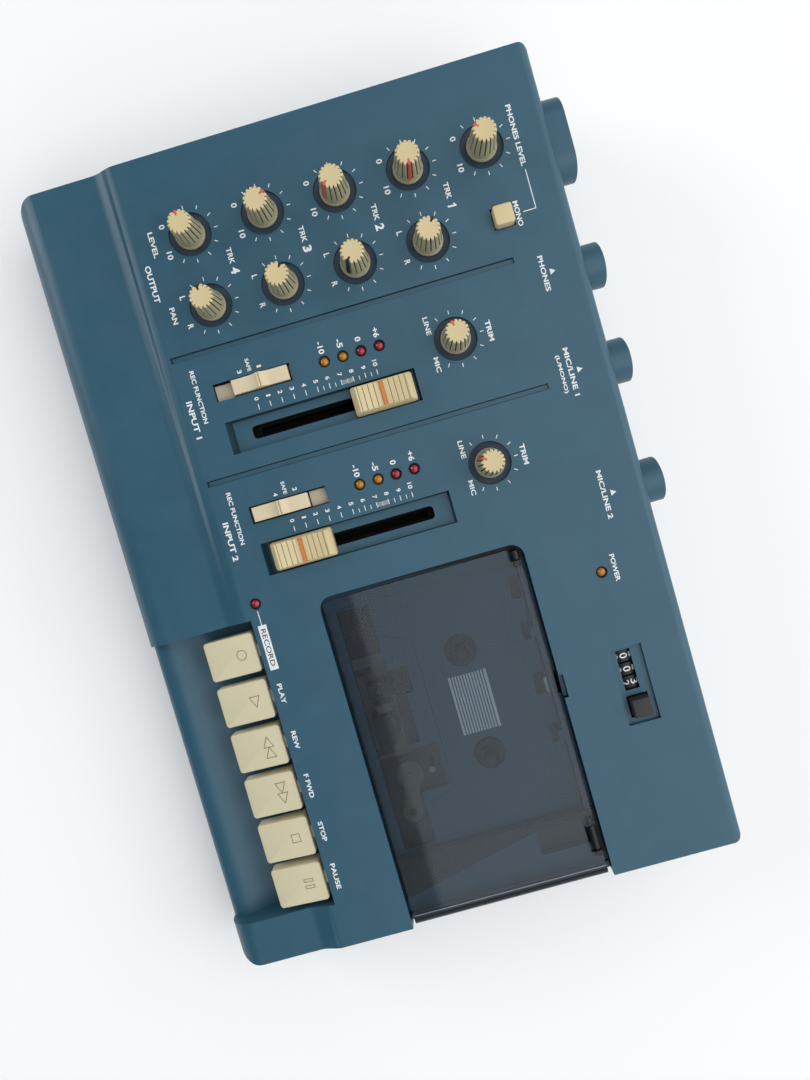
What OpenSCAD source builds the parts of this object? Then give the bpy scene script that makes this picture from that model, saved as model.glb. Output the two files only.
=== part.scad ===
// Desktop four-track cassette recorder: wedge-shaped case, mixer controls on the
// left, hinged cassette lid on the right, six piano keys at the front edge.
// Panel coordinates are (u, v, w): u to the right, v from front to back along
// the sloping panel, w up from the panel surface.

/* [Case] */
// Width of the case
body_w = 308; // [306:0.5:312]
// Slope of the control panel, degrees
tilt = 4; // [3:0.25:5]
// Height of the panel plane above the ground at the front edge
panel_z = 38.23; // [37.5:0.1:40]
// Wall thickness of both case halves
wall = 2.5; // [2.2:0.1:2.6]
// Height of the parting line above the ground
split_z = 20; // [18:0.5:21]
// How far the wrist rest lies below the panel
palm_drop = 3; // [2:0.5:3.5]
// Height of the rubber feet below the case
foot_h = 3; // [2:0.5:3.5]
// Radius of the front top edge
front_r = 10; // [8:0.5:11]
// Radius of the back top edge
back_r = 4; // [3.5:0.5:6]

/* [Knobs] */
// Height of the knobs above the panel
knob_h = 14.2; // [12:0.1:16]
// Radius of a knob at its foot
knob_r = 5.6; // [5:0.1:6]
// Radius of a knob at its top
knob_top_r = 4.05; // [3.6:0.05:4.6]
// Radius of the round recess around each knob
ring_r = 8.1; // [7:0.1:9]

/* [Faders] */
// Travel of the faders
fader_travel = 45; // [40:1:45]
// Width of a fader cap
fader_w = 10.6; // [9:0.1:11]
// Length of a fader cap
fader_l = 23.6; // [20:0.1:23.6]
// Travel of a record-function slide switch
rec_travel = 6; // [4:0.5:6]

/* [Keys] */
// Width of a transport key
key_w = 15.4; // [13:0.1:16]
// Distance between key centres
key_pitch = 18.5; // [18:0.1:18.6]

/* [Cassette] */
// Distance between the two spindles
spindle_gap = 42.5; // [42.5:0.1:42.5]
// Thickness of the lid
lid_t = 2; // [1.6:0.1:2]

/* [Sockets] */
// Radius of a phone-plug socket's bore
jack_r = 3.2; // [3.15:0.01:3.25]
// How far the socket bosses stand out of the back
boss_out = 7.5; // [5:0.5:9]

/* [Hidden] */
$fn = 48;

front_y = -2;
back_y = 198;
boss_y = back_y + boss_out;
mid_y = (front_y + boss_y) / 2;
ct = cos(tilt);
st = sin(tilt);
// Heights and depths of a panel point (v, w) in the upright frame
function PY(v, w) = v * ct - w * st;
function PZ(v, w) = panel_z + v * st + w * ct;

// Control positions, each [u, v]
level_u = 32;
pan_u = 59.1;
rows = [144.2, 116.2, 88.3, 60.2];
phones_p = [32, 172.3];
trims = [[96.4, 144.2], [144, 144]];
pots = concat([for (v = rows) [level_u, v]], [for (v = rows) [pan_u, v]], [phones_p], trims);
mono_p = [58.8, 172.8];
fader_u = [108.5, 155.8];
fader_v = [113, 68];
rec_u = [90.8, 138.4];
rec_v = [70.2, 64.2];
rec_mid = 67.2;
red_p = [[90.8, 116.3], [90.8, 109.2], [138.3, 116.3], [138.3, 109.2], [170.8, 44.4]];
amber_p = [[90.8, 102.2], [90.8, 95], [138.3, 102.2], [138.3, 95], [194.8, 173.1]];
jack_u = [82.6, 119.8, 167.1];
jack_z = PZ(198, -12);
rca_u = [27.2, 41.2];
rca_mid = 34.2;
tape_u = 232.5;
tape_v = 114.2;
sup_p = [tape_u - spindle_gap / 2, tape_v];
tak_p = [tape_u + spindle_gap / 2, tape_v];
cap_p = [252, 91];
roll_p = [252, 82];
arm_p = [270, 78];
mot_p = [200, 97];
// Cassette opening in the panel
op_u0 = 175.6;
op_v0 = 67.4;
op_v1 = 147.2;
well_w = -13;
// Lid outline and hinge
lid_u0 = 177.2;
lid_u1 = 307.8;
lid_v0 = 68.8;
lid_v1 = 145.4;
hinge_v = 143.8;
hinge_w = -2;
// Keys
key_u0 = 188.4;
tub_u0 = 176.5;
tub_u1 = 290.8;
tub_v1 = 40.9;
shaft_v = 60;
shaft_w = -9;
screw_p = [[9.5, 13], [150, 13], [299.3, 13], [9.5, 190], [150, 190], [298.5, 190]];

// Upright frame with the case's left front corner at the origin
module G() translate([-body_w / 2, -mid_y, 0]) children();
// Panel frame
module P() G() translate([0, 0, panel_z]) rotate([tilt, 0, 0]) children();
// Extrude a (v, w) or (y, z) outline along u
module along_u(u0, u1) translate([u0, 0, 0]) rotate([90, 0, 90]) linear_extrude(u1 - u0) children();
// Extrude a (u, w) outline along v
module along_v(v0, v1) translate([0, v1, 0]) rotate([90, 0, 0]) linear_extrude(v1 - v0) children();
module box(a, b) translate(a) cube([b[0] - a[0], b[1] - a[1], b[2] - a[2]]);
module rod(p, w0, w1, r) translate([p[0], p[1], w0]) cylinder(h = w1 - w0, r = r);

function sstep(t) = t <= 0 ? 0 : t >= 1 ? 1 : t * t * (3 - 2 * t);
// Side outline of the case, inset by e
function side_pts(e) = let(
    fw = -palm_drop - front_r,
    fy = front_y + front_r,
    fv = (fy + fw * st) / ct,
    fz = PZ(fv, fw),
    bw = -back_r,
    by = back_y - back_r,
    bv = (by + bw * st) / ct,
    bz = PZ(bv, bw),
    c = e > 0 ? 0 : 1.5)
  concat(
    [[front_y + e, foot_h + e + c]],
    [for (i = [0:12]) let(a = 180 - (90 - tilt) * i / 12) [fy + (front_r - e) * cos(a), fz + (front_r - e) * sin(a)]],
    [for (i = [0:10]) let(v = 30 + 0.95 * i, w = -palm_drop * (1 - sstep(i / 10)) - e) [PY(v, w), PZ(v, w)]],
    [for (i = [0:8]) let(a = (90 + tilt) * (1 - i / 8)) [by + (back_r - e) * cos(a), bz + (back_r - e) * sin(a)]],
    [[back_y - e, foot_h + e + c], [back_y - e - c, foot_h + e], [front_y + e + c, foot_h + e]]);
module plan(e, rf = 8, rb = 4) {
  f = rf - e;
  b = rb - e;
  translate([e + f, front_y + e]) square([body_w - 2 * e - 2 * f, f + 1]);
  translate([e, front_y + e + f]) square([body_w - 2 * e, back_y - front_y - 2 * e - f - b]);
  translate([e + b, back_y - e - b - 1]) square([body_w - 2 * e - 2 * b, b + 1]);
  for (x = [e + f, body_w - e - f]) translate([x, front_y + e + f]) circle(f);
  for (x = [e + b, body_w - e - b]) translate([x, back_y - e - b]) circle(b);
}
// Solid of the case's outer form, inset by e, between two heights
module form(e, z0, z1) intersection() {
  G() along_u(e, body_w - e) polygon(side_pts(e));
  G() translate([0, 0, z0]) linear_extrude(z1 - z0) plan(e);
}
// Floor line of the key tub: rounded lip, then a hollow
function tub_w(v) = v < 3 ? -15 + 4 * sqrt(max(0, 1 - pow((3 - v) / 5.8, 2))) : -16 + 5 * (1 - sstep((v - 3) / 15));
tub_vs = [-2.8, -2.6, -2.2, -1.6, -0.8, 0.4, 1.6, 3, 4.5, 6, 8, 10, 12, 14, 16, 18];

case_blue = [0.25, 0.40, 0.48];
cream = [0.84, 0.80, 0.64];

module top_case() color(case_blue) difference() {
  union() {
    difference() {
      form(0, split_z, 80);
      form(wall, 0, 80);
    }
    // Screw posts
    intersection() {
      form(1, split_z, 80);
      G() for (p = screw_p) rod(p, split_z, 70, 4);
    }
    // Pads under the fader recesses and the counter
    P() for (u = fader_u) box([u - 8, 51, -5], [u + 8, 127.8, -2]);
    P() box([222.6, 166, -3.6], [255.8, 181.8, -2]);
    // Key tub
    intersection() {
      form(0, split_z, 80);
      P() along_u(tub_u0 - wall, tub_u1 + wall)
        polygon(concat([[-6, 4], [-6, -17.5]], [for (v = tub_vs) if (v > -2.5) [v, tub_w(v) - wall]], [[42, -18.5], [42, -1.2], [30, 4]]));
    }
    // Socket bosses
    G() intersection() {
      union() {
        for (u = jack_u) translate([u, boss_y, jack_z]) rotate([90, 0, 0]) cylinder(h = boss_out + 1.5, r = 8.6);
        translate([rca_mid, boss_y, jack_z]) rotate([90, 0, 0]) linear_extrude(boss_out + 1.5) union() {
          for (s = [-1, 1]) translate([s * 7.3, 0]) circle(8.6);
          translate([-7.3, -8.6]) square([14.6, 17.2]);
        }
      }
      box([0, back_y - wall + 0.5, 0], [body_w, boss_y + 1, 80]);
    }
  }
  // Screw pilots
  G() for (p = screw_p) rod(p, split_z - 1, split_z + 11.5, 1.5);
  // Knob recesses and shaft holes
  P() for (p = pots) {
    rod(p, -1.5, 2, ring_r);
    rod(p, -4, 0, 3.6);
  }
  // Mono button
  P() box([mono_p[0] - 4, mono_p[1] - 4, -4], [mono_p[0] + 4, mono_p[1] + 4, 2]);
  // Groove lines
  P() for (u = [74.8, 122.7]) box([u - 1.1, 39.7, -0.8], [u + 1.1, 172.5, 2]);
  // Fader recesses and slots
  P() for (u = fader_u) {
    along_u(u - 6.2, u + 6.2) polygon([[52.6, 0], [53.9, -3], [125.6, -3], [126.4, 0], [126.4, 2], [52.6, 2]]);
    box([u - 2.5, 62.9, -6], [u + 2.5, 117.5, 2]);
    box([u - 1, 61.4, -6], [u + 1, 119, 2]);
    for (s = [-1, 1], v = [62.9, 117.5]) rod([u + s, v], -6, 2, 1.5);
  }
  // Record-function switch slots
  P() for (u = rec_u) box([u - 3.3, rec_mid - 14.9, -4], [u + 3.3, rec_mid + 14.9, 2]);
  // LED holes
  P() for (p = concat(red_p, amber_p)) rod(p, -4, 2, 2.2);
  // Counter recess, window and reset button hole
  P() box([224.4, 167.8, -1.6], [254, 180, 2]);
  P() box([225.5, 170.2, -5], [241.1, 175.7, 2]);
  P() box([225.1, 168.4, -5], [241.5, 177.5, -2.6]);
  P() box([243.2, 169.7, -5], [251.7, 177.9, 2]);
  // Cassette opening, open at the right-hand side
  P() translate([0, 0, -4]) linear_extrude(7) union() {
    translate([op_u0 + 5, op_v0]) square([body_w - wall - 6 - op_u0, op_v1 - op_v0]);
    translate([op_u0, op_v0 + 5]) square([6, op_v1 - op_v0 - 10]);
    for (v = [op_v0 + 5, op_v1 - 5]) translate([op_u0 + 5, v]) circle(5);
  }
  P() box([body_w - wall - 1.5, op_v0, -7.4], [body_w + 2, op_v1, 3]);
  // Finger notch behind the lid
  P() box([228, 146, -3.4], [237, 148.8, 3]);
  // Key tub
  P() along_u(tub_u0, tub_u1)
    polygon(concat([[-9, 6], [-9, -16]], [for (v = tub_vs) [v, tub_w(v)]], [[tub_v1, -16], [tub_v1, 6]]));
  P() box([tub_u0, tub_v1 - 1, -16], [tub_u1, tub_v1 + 3, -2.5]);
  // Socket holes
  G() for (u = jack_u) translate([u, boss_y + 1, jack_z]) rotate([90, 0, 0]) cylinder(h = 14, r = 6.1);
  G() for (u = rca_u) translate([u, boss_y + 1, jack_z]) rotate([90, 0, 0]) cylinder(h = 14, r = 5);
  // Power inlet and power switch slot
  G() translate([232, boss_y + 1, 34]) rotate([90, 0, 0]) cylinder(h = 14, r = 4);
  G() box([256, back_y - 5, 31.8], [268, back_y + 1, 36.2]);
}

module bottom_case() color([0.20, 0.33, 0.41]) difference() {
  union() {
    difference() {
      form(0, 0, split_z);
      form(wall, 0, 80);
    }
    // Screw bosses
    intersection() {
      form(1, foot_h, split_z);
      G() for (p = screw_p) rod(p, foot_h, split_z, 4.6);
    }
    // Posts for the board and the tape chassis
    intersection() {
      G() box([2, 2, foot_h + 1], [body_w - 2, back_y - 2, 60]);
      P() {
        for (p = [[14, 46], [80, 46], [166, 56], [14, 128], [80, 128], [166, 128], [45, 178], [212, 174]]) rod(p, -50, -16, 3);
        for (p = [[182, 68], [296, 68], [182, 144], [296, 144]]) rod(p, -50, -19, 3);
      }
    }
  }
  G() for (p = screw_p) {
    rod(p, foot_h - 1, 11, 3);
    rod(p, 0, split_z + 1, 1.7);
  }
  // Seats for the feet
  G() for (x = [25, body_w - 25], y = [22, 176]) rod([x, y], foot_h - 1, foot_h + 1, 8.2);
}

module rubber_feet() color([0.1, 0.1, 0.1]) G()
  for (x = [25, body_w - 25], y = [22, 176]) translate([x, y, 0]) {
    cylinder(h = 1, r1 = 7, r2 = 8);
    translate([0, 0, 1]) cylinder(h = foot_h, r = 8);
  }

module case_screws() color([0.6, 0.6, 0.62]) G() for (p = screw_p) {
  difference() {
    rod(p, 8.8, 11, 2.8);
    translate([p[0], p[1], 8]) box([-2, -0.35, 0], [2, 0.35, 1.8]);
    translate([p[0], p[1], 8]) box([-0.35, -2, 0], [0.35, 2, 1.8]);
  }
  rod(p, 11, split_z + 10.5, 1.45);
}

// Smoked lid: flat plate whose right end turns down over the side of the case
module cassette_lid() color([0.12, 0.14, 0.18, 0.6]) difference() {
  union() {
    intersection() {
      P() along_v(lid_v0, lid_v1) difference() {
        union() {
          translate([lid_u0, -7]) square([lid_u1 - lid_u0 - 4, 7]);
          translate([lid_u1 - 5, -7]) square([5, 3]);
          translate([lid_u1 - 4, -4]) circle(4);
        }
        union() {
          translate([lid_u0 - 1, -8]) square([lid_u1 - lid_u0 - 4 + 1, 8 - lid_t]);
          translate([lid_u1 - 5, -8]) square([5 - lid_t, 4]);
          translate([lid_u1 - 4, -4]) circle(4 - lid_t);
        }
      }
      P() translate([0, 0, -7]) linear_extrude(17) union() {
        translate([lid_u0 + 4, lid_v0]) square([lid_u1 - lid_u0 - 4, lid_v1 - lid_v0]);
        translate([lid_u0, lid_v0 + 4]) square([6, lid_v1 - lid_v0 - 8]);
        for (v = [lid_v0 + 4, lid_v1 - 4]) translate([lid_u0 + 4, v]) circle(4);
      }
    }
    // Hinge lugs
    P() for (r = [[181.9, 184.4], [284.6, 287.1], [297.2, 299.7]])
      translate([r[0], hinge_v, hinge_w]) rotate([0, 90, 0]) cylinder(h = r[1] - r[0], r = 1.6);
  }
  // Hinge notches in the back edge
  P() box([lid_u0 - 1, 141.2, -5], [181.9, lid_v1 + 1, 1]);
  P() box([287.1, 141.2, -5], [297.2, lid_v1 + 1, 1]);
  // Pin bores
  P() for (r = [[181, 185], [284, 300]])
    translate([r[0], hinge_v, hinge_w]) rotate([0, 90, 0]) cylinder(h = r[1] - r[0], r = 0.85);
}

module lid_hinge_pins() color([0.7, 0.7, 0.72]) P()
  for (r = [[178.2, 184.3], [284.7, 299.6]])
    translate([r[0], hinge_v, hinge_w]) rotate([0, 90, 0]) cylinder(h = r[1] - r[0], r = 0.8);

module cassette_well() color([0.22, 0.36, 0.44]) P() difference() {
  union() {
    difference() {
      box([op_u0 - 2, op_v0 - 2, well_w - 2], [305.2, op_v1 + 2, -2.5]);
      box([op_u0, op_v0, well_w], [303.2, op_v1, 1]);
      box([300, op_v0 - 3, -8.2], [310, op_v1 + 3, 1]);
    }
    // Raised shelves beside the cassette
    box([op_u0 - 0.5, op_v0 - 0.5, well_w - 1], [181.9, op_v1 + 0.5, -8]);
    box([284, op_v0 - 0.5, well_w - 1], [304, op_v1 + 0.5, -8.2]);
    box([op_u0, 144, well_w - 1], [303.2, op_v1 + 0.5, -9]);
    // Corner guides for the cassette
    for (u = [211.5, 253.5]) box([u - 2.2, 141.8, well_w - 1], [u + 2.2, 144.5, -9]);
    // Hinge ears
    for (r = [[178.2, 181.6], [287.5, 296.8]]) {
      translate([r[0], hinge_v, hinge_w]) rotate([0, 90, 0]) cylinder(h = r[1] - r[0], r = 1.5);
      box([r[0], hinge_v - 1.2, -9], [r[1], hinge_v + 1.2, hinge_w]);
    }
  }
  // Spindle holes
  for (p = [sup_p, tak_p]) rod(p, -20, 0, 6.4);
  // Dark pockets along the back of the well and in the right-hand shelf
  box([188.5, 139.4, -20], [198, 143.4, well_w + 0.1]);
  for (u = [207, 249]) box([u, 139.4, -20], [u + 7.4, 143, well_w + 0.1]);
  box([227.8, 138.4, -20], [236.4, 143, well_w + 0.1]);
  box([287.4, 123, -12.4], [297, 142.3, -8]);
  // Notch behind the lid's back edge
  box([228, 145.3, -20], [237, 147.2, -8]);
  // Head opening with its notches
  box([184, 71, -20], [283, 84, -7]);
  box([211.5, 80, -20], [222, 92, -7]);
  box([221.5, 80, -20], [242, 89, -7]);
  box([244, 80, -20], [262, 95, -7]);
  // Pin bores
  for (r = [[177, 182], [286, 298]])
    translate([r[0], hinge_v, hinge_w]) rotate([0, 90, 0]) cylinder(h = r[1] - r[0], r = 0.82);
}

module tape_reflector() color([0.80, 0.84, 0.86]) P() difference() {
  box([tape_u - 11.8, 106.2, well_w], [tape_u + 11.8, 121.6, well_w + 0.8]);
  for (i = [0:11]) box([tape_u - 13, 107.2 + 1.16 * i, well_w + 0.45], [tape_u + 13, 107.2 + 1.16 * i + 0.4, well_w + 2]);
}

module cassette_spring() color([0.75, 0.75, 0.73]) P() along_u(tape_u - 3, tape_u + 3)
  polygon([[144, -13], [144, -9.3], [143.3, -8.6], [142, -8.6], [140.45, -10.8], [140.75, -11], [142.2, -9], [143.1, -9], [143.6, -9.5], [143.6, -13]]);

module mech_chassis() color([0.62, 0.62, 0.58]) P() difference() {
  union() {
    box([178, 56, -19], [300, 148, -17.8]);
    // Spacers up to the well
    for (p = [[180, 90], [300 - 4, 90], [180, 138], [296, 138]]) rod(p, -18.5, well_w - 2, 2.5);
    // Bearings
    for (p = [sup_p, tak_p]) rod(p, -22, -18.5, 4);
    rod(cap_p, -24, -17.8, 4);
    // Guide posts of the head bridge and the pinch arm's pivot post
    for (u = [210, 243]) rod([u, 76], -18.5, -15.2, 1.2);
    rod(arm_p, -18.5, -15.2, 1.5);
    // Brackets of the key shaft
    box([178, 56, -18.5], [180, 64, -5.5]);
    box([290.4, 56, -18.5], [292.4, 64, -5.5]);
  }
  for (p = [sup_p, tak_p]) rod(p, -30, -10, 1.55);
  rod(cap_p, -30, -10, 1.25);
  translate([170, shaft_v, shaft_w]) rotate([0, 90, 0]) cylinder(h = 130, r = 1.52);
  // Motor shaft and lightening holes
  for (p = [[232.5, 130], [275, 130], [190, 130]]) rod(p, -30, -10, 7);
}

// Reel spindle: turntable, hub with splines, shaft
module spindle(p) color([0.12, 0.11, 0.12]) P() {
  rod(p, -16.9, -12.4, 5.9);
  rod(p, -13, -5.6, 3.4);
  translate([p[0], p[1], -5.7]) cylinder(h = 1.6, r1 = 3.3, r2 = 1.8);
  for (a = [30, 150, 270]) translate([p[0], p[1], 0]) rotate([0, 0, a]) box([1.5, -0.5, -12.9], [4.4, 0.5, -6.4]);
  rod(p, -22.5, -16.5, 1.5);
}
module supply_spindle() spindle(sup_p);
module takeup_spindle() spindle(tak_p);

module capstan_shaft() color([0.82, 0.82, 0.84]) P() rod(cap_p, -36.5, -6.2, 1.2);

module flywheel() color([0.72, 0.66, 0.45]) P() difference() {
  union() {
    rod(cap_p, -35.5, -28.5, 20);
    rod(cap_p, -28.5, -26.5, 5);
  }
  rod(cap_p, -31, -25, 5 - 3.79);
  rod(cap_p, -40, -25, 1.21);
  difference() {
    rod(cap_p, -31, -28, 17);
    rod(cap_p, -32, -26, 6);
  }
}

module pinch_arm() color([0.66, 0.66, 0.62]) P() difference() {
  union() {
    rod(arm_p, -17.3, -16.1, 4);
    rod(roll_p, -17.3, -16.1, 3.5);
    translate([arm_p[0], arm_p[1], -17.3]) rotate([0, 0, atan2(roll_p[1] - arm_p[1], roll_p[0] - arm_p[0])]) translate([0, -3, 0]) cube([18.4, 6, 1.2]);
    rod(roll_p, -16.5, -5.6, 1);
  }
  rod(arm_p, -20, -10, 1.55);
}

module pinch_roller() color([0.16, 0.16, 0.16]) P() difference() {
  rod(roll_p, -14.6, -6.6, 5.5);
  rod(roll_p, -20, 0, 1.05);
}

module head_bridge() color([0.60, 0.56, 0.48]) P() difference() {
  union() {
    box([204, 68, -17.3], [246, 84, -16]);
    box([206, 66.8, -17.3], [244, 68.2, -15.4]);
    // Tape guide fork beside the record head
    box([222.2, 76.5, -16.5], [225.6, 82.5, -6.2]);
  }
  for (u = [210, 243]) {
    box([u - 1.3, 70.4, -20], [u + 1.3, 77.6, -15]);
  }
}

module record_play_head() color([0.62, 0.60, 0.56]) P() {
  difference() {
    box([226.4, 73.5, -16], [238.6, 80.6, -5.4]);
    box([226, 72, -12.5], [239, 74.3, -9]);
  }
  intersection() {
    translate([232.5, 75.6, -14.6]) cylinder(h = 7.6, r = 7.4);
    box([227.4, 80.6, -15], [237.6, 90, -6]);
  }
}

module erase_head() color([0.10, 0.10, 0.11]) P() {
  box([213.7, 75.2, -16], [219.2, 85, -6]);
  intersection() {
    translate([216.45, 83.5, -14]) cylinder(h = 7, r = 2.75);
    box([213, 85, -15], [220, 90, -6]);
  }
}

module motor() color([0.70, 0.70, 0.70]) P() {
  rod(mot_p, -31, -19, 13);
  rod(mot_p, -35.4, -31, 1);
}

module motor_pulley() color([0.75, 0.65, 0.35]) P() difference() {
  rod(mot_p, -35.2, -31.4, 4);
  rod(mot_p, -40, -30, 1.05);
}

module drive_belt() color([0.08, 0.08, 0.08]) P() translate([0, 0, -34.4]) linear_extrude(2.4) difference() {
  hull() {
    translate(cap_p) circle(r = 21, $fn = 64);
    translate(mot_p) circle(r = 5, $fn = 48);
  }
  hull() {
    translate(cap_p) circle(r = 20.2, $fn = 64);
    translate(mot_p) circle(r = 4.2, $fn = 48);
  }
}

module key_shaft() color([0.75, 0.75, 0.77]) P()
  translate([178.4, shaft_v, shaft_w]) rotate([0, 90, 0]) cylinder(h = 113.6, r = 1.5);

// Piano key number i: cap, lever back to the shaft, engraved symbol
module key(i) {
  c = key_u0 + key_pitch * i;
  color(cream) P() difference() {
    union() {
      along_u(c - key_w / 2, c + key_w / 2) polygon(concat(
        [[39.4, -9.4], [39.4, -1.5], [38.9, -1.05]],
        [[30, -2.2], [24, -2.95], [21.4, -3.3]],
        [for (a = [100:20:180]) [21.2 + 2 * cos(a), -5.3 + 2 * sin(a)]],
        [[19.2, -9.4]]));
      along_u(c - 2.5, c + 2.5) polygon([[36, -4], [42, -4.4], [58, -5.2], [58, -12.6], [42, -9.4], [36, -9.4]]);
      translate([c - 2.5, shaft_v, shaft_w]) rotate([0, 90, 0]) cylinder(h = 5, r = 4);
    }
    translate([c - 10, shaft_v, shaft_w]) rotate([0, 90, 0]) cylinder(h = 20, r = 1.55);
    // Hollow underside of the cap
    box([c - key_w / 2 + 1.4, 20.8, -11], [c - 3.4, 38, -5.6]);
    box([c + 3.4, 20.8, -11], [c + key_w / 2 - 1.4, 38, -5.6]);
  }
}
module record_key() key(0);
module play_key() key(1);
module rewind_key() key(2);
module forward_key() key(3);
module stop_key() key(4);
module pause_key() key(5);

// Tape counter: open frame with axle
wheel_u = [228, 233.2, 238.4];
wheel_v = 172.95;
wheel_w = -8;
module counter_frame() color([0.07, 0.07, 0.08]) P() {
  difference() {
    union() {
      box([223.6, 166.6, -15], [225.2, 179.4, -3.8]);
      box([241.2, 166.6, -15], [242.6, 179.4, -3.8]);
      box([223.6, 166.6, -15.6], [253, 179.4, -14.2]);
      box([223.6, 166.6, -15], [242.6, 167.2, -3.8]);
    }
    rod([247.45, 173.8], -20, -10, 1.6);
  }
  translate([224, wheel_v, wheel_w]) rotate([0, 90, 0]) cylinder(h = 18, r = 0.8);
}
module wheel(u) color([0.06, 0.06, 0.06]) P() translate([u - 2.35, wheel_v, wheel_w]) rotate([0, 90, 0]) difference() {
  cylinder(h = 4.7, r = 5.5);
  translate([0, 0, -1]) cylinder(h = 8, r = 0.85);
}
module counter_wheel_hundreds() wheel(wheel_u[0]);
module counter_wheel_tens() wheel(wheel_u[1]);
module counter_wheel_ones() wheel(wheel_u[2]);
module counter_reset_button() color([0.20, 0.18, 0.18]) P() {
  box([243.9, 170.3, -4], [251, 177.3, 3.4]);
  box([243.9, 168.6, -5.4], [251, 179, -4]);
  rod([247.45, 173.8], -17, -5, 1.5);
}

// Knob with its shaft; a is the direction of the pointer
module knob(p, a) {
  color(cream) P() translate([p[0], p[1], 0]) difference() {
    union() {
      translate([0, 0, -0.7]) cylinder(h = 2, r = knob_r);
      translate([0, 0, 1.3]) cylinder(h = knob_h - 1.9, r1 = knob_r - 0.35, r2 = knob_top_r + 0.1);
      translate([0, 0, knob_h - 0.6]) cylinder(h = 0.6, r1 = knob_top_r + 0.1, r2 = knob_top_r - 0.4);
    }
    translate([0, 0, -2]) cylinder(h = 11, r = 3.05);
    rotate([0, 0, a]) translate([knob_top_r - 3, -0.4, knob_h - 0.3]) cube([4, 0.8, 1]);
  }
  color([0.7, 0.7, 0.7]) P() rod(p, -13.4, 8.5, 3);
}
module level_knob_1() knob([level_u, rows[0]], -5);
module level_knob_2() knob([level_u, rows[1]], -57);
module level_knob_3() knob([level_u, rows[2]], 118);
module level_knob_4() knob([level_u, rows[3]], 186);
module pan_knob_1() knob([pan_u, rows[0]], 142);
module pan_knob_2() knob([pan_u, rows[1]], -40);
module pan_knob_3() knob([pan_u, rows[2]], 143);
module pan_knob_4() knob([pan_u, rows[3]], 186);
module phones_knob() knob(phones_p, 230);
module trim_knob_1() knob(trims[0], 194);
module trim_knob_2() knob(trims[1], 240);

module mono_button() color(cream) P() translate([mono_p[0], mono_p[1], 0]) {
  box([-3.6, -3.6, -2.9], [3.6, 3.6, 4.3]);
  box([-4.8, -4.8, -4.2], [4.8, 4.8, -2.9]);
  translate([0, 0, -10]) cylinder(h = 5.8, r = 1.5);
}

// Fader cap: ridged saddle on a flat lever
module fader_cap(u, v) {
  color(cream) P() translate([u, v, 0]) difference() {
    along_u(-fader_w / 2, fader_w / 2) polygon([
      [-fader_l / 2, -2.4], [fader_l / 2, -2.4], [fader_l / 2, 3.6], [fader_l / 2 - 1, 4.8],
      [2.6, 4], [0, 4.6], [-2.6, 4], [1 - fader_l / 2, 4.8], [-fader_l / 2, 3.6]]);
    for (s = [-1, 1], k = [0:4]) box([-fader_w, s * (3.4 + 1.6 * k) - 0.3, 3.6], [fader_w, s * (3.4 + 1.6 * k) + 0.3, 6]);
  }
  color([0.7, 0.7, 0.7]) P() box([u - 0.6, v - 2, -12], [u + 0.6, v + 2, -2.4]);
}
module fader_cap_1() fader_cap(fader_u[0], fader_v[0]);
module fader_cap_2() fader_cap(fader_u[1], fader_v[1]);

// Slide-switch cap with the dust plate that closes the slot
module rec_slider(u, v) color(cream) P() translate([u, v, 0]) {
  along_u(-2.75, 2.75) polygon([[-10.85, -2.9], [10.85, -2.9], [10.85, 1.2], [10.3, 1.7], [1.6, 1.7], [0.9, 3.4], [-0.9, 3.4], [-1.6, 1.7], [-10.3, 1.7], [-10.85, 1.2]]);
  box([-2.9, -18.6, -4], [2.9, 18.6, -2.9]);
  box([-0.7, -1.5, -11.5], [0.7, 1.5, -4]);
}
module rec_slider_1() rec_slider(rec_u[0], rec_v[0]);
module rec_slider_2() rec_slider(rec_u[1], rec_v[1]);

module main_board() color([0.30, 0.42, 0.22]) P() translate([0, 0, -16]) linear_extrude(1.6)
  polygon([[8, 42], [172.6, 42], [172.6, 152], [218, 152], [218, 181], [178, 181], [178, 168], [72, 168], [72, 183], [8, 183]]);

module potentiometers() color([0.55, 0.56, 0.58]) P() for (p = pots) difference() {
  union() {
    rod(p, -14.4, -8.4, 8);
    rod(p, -8.4, -2.9, 4.5);
  }
  rod(p, -13.8, 0, 3.05);
}

module fader_units() color([0.55, 0.56, 0.58]) P() for (u = fader_u) difference() {
  box([u - 5.5, 56, -14.4], [u + 5.5, 125, -6.6]);
  box([u - 1.5, 64.4, -13.2], [u + 1.5, 116.6, -5]);
}

module switch_units() color([0.13, 0.13, 0.14]) P() {
  for (u = rec_u) difference() {
    box([u - 5, rec_mid - 10, -14.4], [u + 5, rec_mid + 10, -6.8]);
    box([u - 1.5, rec_mid - 5.4, -13], [u + 1.5, rec_mid + 5.4, -5]);
  }
  difference() {
    box([mono_p[0] - 4.2, mono_p[1] - 4.2, -14.4], [mono_p[0] + 4.2, mono_p[1] + 4.2, -7.4]);
    rod(mono_p, -13.4, -5, 1.55);
  }
}

module led(p) {
  rod(p, -14.4, -1.5, 1.85);
  translate([p[0], p[1], -1.5]) sphere(r = 1.85);
}
module red_leds() color([0.5, 0.1, 0.16]) P() for (p = red_p) led(p);
module amber_leds() color([0.75, 0.5, 0.12]) P() for (p = amber_p) led(p);

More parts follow.
